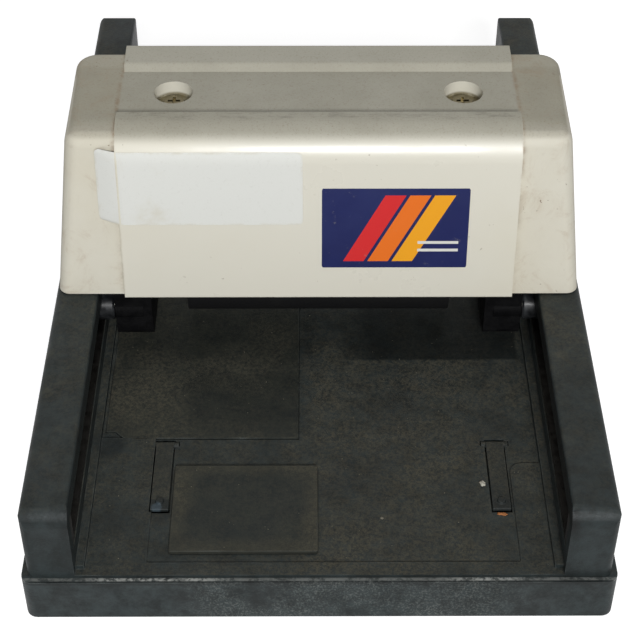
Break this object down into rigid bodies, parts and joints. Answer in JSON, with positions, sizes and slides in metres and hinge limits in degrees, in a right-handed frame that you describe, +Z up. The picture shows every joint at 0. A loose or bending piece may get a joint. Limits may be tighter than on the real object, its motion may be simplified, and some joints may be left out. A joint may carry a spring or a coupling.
{
  "type": "sales slip imprinter",
  "caption": "Flat-bed imprinter: a cream carriage slides on two side rails of a dark base and rolls a platen over card and slip.",
  "frame": {"origin": "on the table under the middle of the base", "axes": "+Z up, -Y towards the user and the front edge, +X to the user's right, rails along Y"},
  "size_m": [0.1766, 0.2582, 0.1049],
  "materials": {
    "pan_plastic": "fine grained moulding, dusty",
    "deck_plastic": "fine grained moulding, dusty",
    "plate_plastic": "dusty dark plate",
    "tab_plastic": "dark moulding",
    "bracket_plastic": "dark moulding",
    "head_plastic": "satin cream moulding, yellowed and soiled",
    "wheel_plastic": "smooth black",
    "rubber": "matte",
    "platen_rubber": "ground rubber",
    "steel": "plain steel, dull",
    "zinc": "zinc plated",
    "frame_metal": "pressed sheet steel",
    "core_metal": "turned",
    "bronze": "sintered bronze"
  },
  "bodies": {
    "base": {"base_pan": "pan_plastic", "rubber_feet": "rubber", "case_screws": "zinc", "deck": "deck_plastic", "left_track": "steel", "right_track": "steel", "track_bumpers": "rubber", "merchant_plate": "plate_plastic", "card_plate": "plate_plastic"},
    "carriage": {"head_shell": "head_plastic", "head_screws": "zinc", "carriage_frame": "frame_metal", "left_bracket": "bracket_plastic", "right_bracket": "bracket_plastic", "bracket_screws": "zinc", "wheel_pins": "steel", "cradle_shaft": "steel", "pressure_springs": "steel"},
    "cradle": {"cradle": "frame_metal", "roller_bushes": "bronze"},
    "platen": {"platen_sleeve": "platen_rubber", "platen_core": "core_metal", "platen_shaft": "steel", "platen_clips": "zinc"},
    "left_form_tab": {"left_form_tab": "tab_plastic"},
    "right_form_tab": {"right_form_tab": "tab_plastic"},
    "left_front_wheel": {"left_front_wheel": "wheel_plastic"},
    "left_rear_wheel": {"left_rear_wheel": "wheel_plastic"},
    "right_front_wheel": {"right_front_wheel": "wheel_plastic"},
    "right_rear_wheel": {"right_rear_wheel": "wheel_plastic"}
  },
  "joints": [
    {"name": "carriage_slide", "type": "slide", "parent": "base", "child": "carriage", "axis": [0, -1, 0], "range_m": [-0.062, 0.092]},
    {"name": "cradle_lift", "type": "hinge", "parent": "carriage", "child": "cradle", "pos_m": [0, 0.015, 0.0502], "axis": [-1, 0, 0], "range_deg": [0, 3], "stiffness_Nm_per_rad": 1.5, "springref_deg": -11.46},
    {"name": "platen_spin", "type": "hinge", "parent": "cradle", "child": "platen", "pos_m": [0, -0.006, 0.0327], "axis": [1, 0, 0], "continuous": true},
    {"name": "left_tab_press", "type": "hinge", "parent": "base", "child": "left_form_tab", "pos_m": [-0.0491, -0.0731, 0.0172], "axis": [1, 0, 0], "range_deg": [0, 1.4], "stiffness_Nm_per_rad": 0.05, "springref_deg": -2.86},
    {"name": "right_tab_press", "type": "hinge", "parent": "base", "child": "right_form_tab", "pos_m": [0.0561, -0.0731, 0.0172], "axis": [1, 0, 0], "range_deg": [0, 1.4], "stiffness_Nm_per_rad": 0.05, "springref_deg": -2.86},
    {"name": "left_front_wheel_spin", "type": "hinge", "parent": "carriage", "child": "left_front_wheel", "pos_m": [-0.0718, -0.0215, 0.0326], "axis": [1, 0, 0], "continuous": true},
    {"name": "left_rear_wheel_spin", "type": "hinge", "parent": "carriage", "child": "left_rear_wheel", "pos_m": [-0.0718, 0.0215, 0.0326], "axis": [1, 0, 0], "continuous": true},
    {"name": "right_front_wheel_spin", "type": "hinge", "parent": "carriage", "child": "right_front_wheel", "pos_m": [0.0718, -0.0215, 0.0326], "axis": [1, 0, 0], "continuous": true},
    {"name": "right_rear_wheel_spin", "type": "hinge", "parent": "carriage", "child": "right_rear_wheel", "pos_m": [0.0718, 0.0215, 0.0326], "axis": [1, 0, 0], "continuous": true}
  ],
  "couplings": [
    {"joint": "left_front_wheel_spin", "follows": "carriage_slide", "rad_per_m": 192.31},
    {"joint": "left_rear_wheel_spin", "follows": "carriage_slide", "rad_per_m": 192.31},
    {"joint": "right_front_wheel_spin", "follows": "carriage_slide", "rad_per_m": 192.31},
    {"joint": "right_rear_wheel_spin", "follows": "carriage_slide", "rad_per_m": 192.31},
    {"joint": "platen_spin", "follows": "carriage_slide", "rad_per_m": 83.333}
  ]
}
